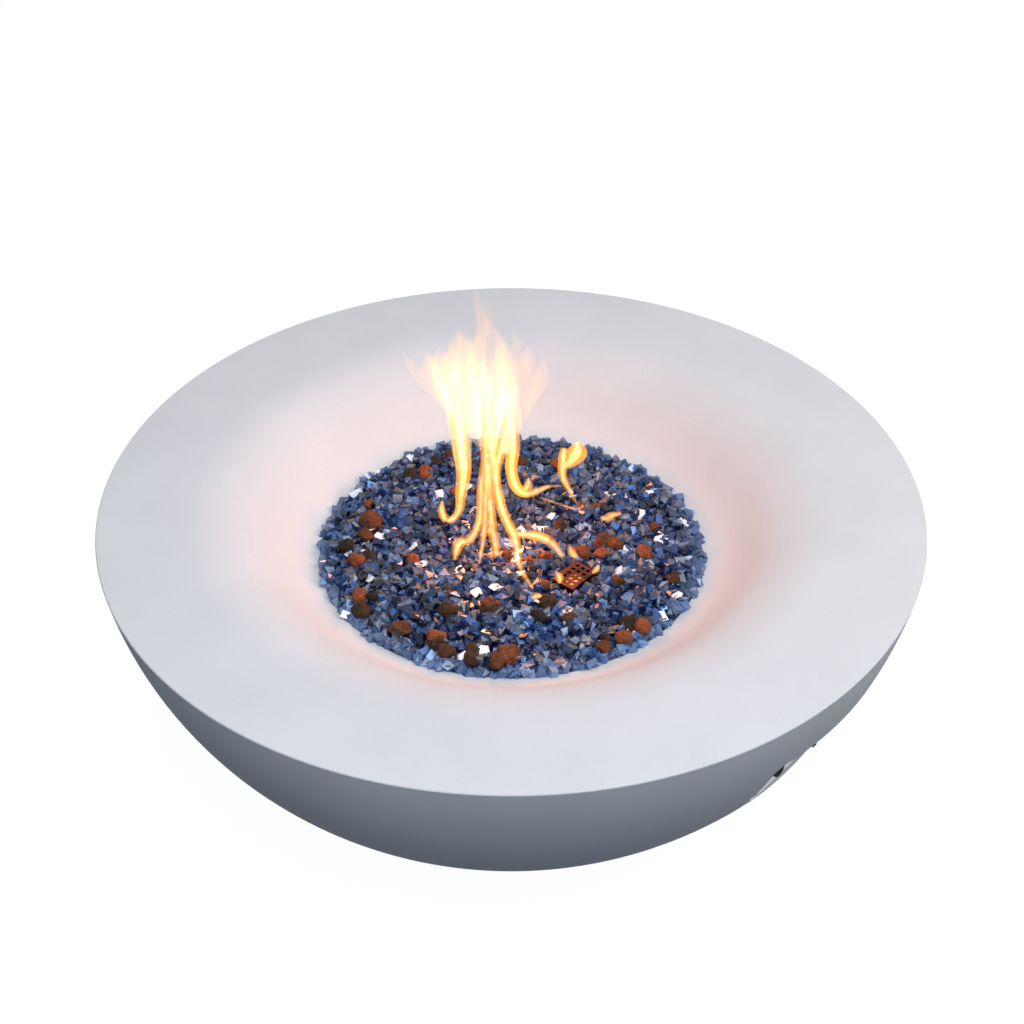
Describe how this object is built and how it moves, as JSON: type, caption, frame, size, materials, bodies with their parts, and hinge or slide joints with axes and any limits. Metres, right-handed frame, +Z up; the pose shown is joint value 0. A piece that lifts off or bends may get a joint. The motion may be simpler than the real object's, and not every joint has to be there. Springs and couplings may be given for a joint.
{
  "type": "gas fire pit bowl",
  "caption": "Round concrete gas fire pit bowl with a flat rim, a burner pan under blue fire glass and lava rock, and a recess with a gas knob and igniter button.",
  "frame": {"origin": "on the ground under the middle of the bowl", "axes": "+Z up; -Y faces a person at the control recess; +X to that person's right"},
  "size_m": [1.0692, 1.0692, 0.35],
  "materials": {
    "concrete": "matte",
    "foot_rubber": "matte",
    "stainless": "satin",
    "zinc_steel": "satin",
    "tinted_steel": "satin",
    "brass": "satin",
    "black_plastic": "satin",
    "white_mark": "matte",
    "fibre_gasket": "matte",
    "hose_rubber": "matte",
    "copper": "satin",
    "silicone_lead": "satin",
    "electrode_ceramic": "satin",
    "spring_steel": "satin",
    "battery_jacket": "satin",
    "blue_fire_glass": "polished",
    "lava_stone": "matte"
  },
  "bodies": {
    "bowl": {"bowl_shell": "concrete", "rubber_feet": "foot_rubber", "foot_screws": "zinc_steel", "burner_pan": "stainless", "pan_gasket": "fibre_gasket", "pan_screws": "zinc_steel", "burner_ring": "stainless", "burner_nipple": "brass", "burner_locknut": "brass", "air_mixer": "brass", "orifice_elbow": "brass", "burner_hose": "hose_rubber", "pilot_bracket": "stainless", "pilot_hood": "tinted_steel", "hood_screws": "zinc_steel", "thermocouple": "copper", "thermocouple_lead": "copper", "thermocouple_nut": "brass", "electrode_ceramic": "electrode_ceramic", "spark_rod": "spring_steel", "igniter_lead": "silicone_lead", "control_plate": "stainless", "plate_screws": "zinc_steel", "valve_body": "brass", "valve_nut": "zinc_steel", "valve_spring": "spring_steel", "outlet_fitting": "brass", "gas_inlet": "brass", "igniter_body": "black_plastic", "igniter_nut": "black_plastic", "igniter_spring": "spring_steel", "igniter_battery": "battery_jacket", "lava_fill": "lava_stone", "fire_glass": "blue_fire_glass", "lava_rocks": "lava_stone"},
    "plunger": {"valve_plunger": "zinc_steel"},
    "knob": {"control_knob": "black_plastic", "knob_pointer": "white_mark", "valve_stem": "zinc_steel"},
    "igniter_button": {"igniter_button": "black_plastic"}
  },
  "joints": [
    {"name": "knob_push", "type": "slide", "parent": "bowl", "child": "plunger", "axis": [0, 1, 0], "range_m": [0, 0.004], "stiffness_N_per_m": 1500, "springref_m": -0.002, "deforming": ["valve_spring"]},
    {"name": "knob_turn", "type": "hinge", "parent": "plunger", "child": "knob", "pos_m": [0.038, -0.453, 0.1825], "axis": [0, -1, 0], "range_deg": [0, 180]},
    {"name": "igniter_press", "type": "slide", "parent": "bowl", "child": "igniter_button", "axis": [0, 1, 0], "range_m": [0, 0.004], "stiffness_N_per_m": 1200, "springref_m": -0.002, "deforming": ["igniter_spring"]}
  ]
}
